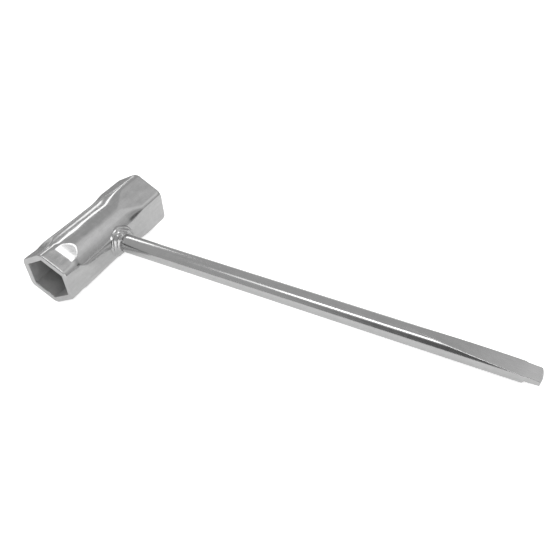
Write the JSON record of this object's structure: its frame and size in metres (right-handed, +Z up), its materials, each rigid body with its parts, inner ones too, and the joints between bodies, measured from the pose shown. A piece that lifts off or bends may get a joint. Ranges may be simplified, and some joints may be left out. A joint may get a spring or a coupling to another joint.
{
  "type": "t-handle hex box wrench",
  "caption": "Small T-handle box wrench: a steel tube with a smaller and a larger hexagon socket, a welded round bar as the handle and a flat screwdriver blade on the bar's end.",
  "frame": {"origin": "where the handle bar's axis crosses the socket tube's axis, inside the tube", "axes": "+X along the handle bar to the screwdriver blade, +Y along the tube's axis to the large socket, +Z up, square to the blade's flats; each hexagon has a flat facing +X"},
  "size_m": [0.1974, 0.0634, 0.0276],
  "materials": {
    "tube_plating": "bright plated steel, faint drawing and forming marks",
    "bar_plating": "bright plated steel bar, fine lengthwise grain, ground flats",
    "weld_plating": "bright plated weld metal, uneven rings"
  },
  "bodies": {
    "root": {"socket_tube": "tube_plating", "handle_rod": "bar_plating", "weld_bead": "weld_plating"}
  },
  "joints": []
}
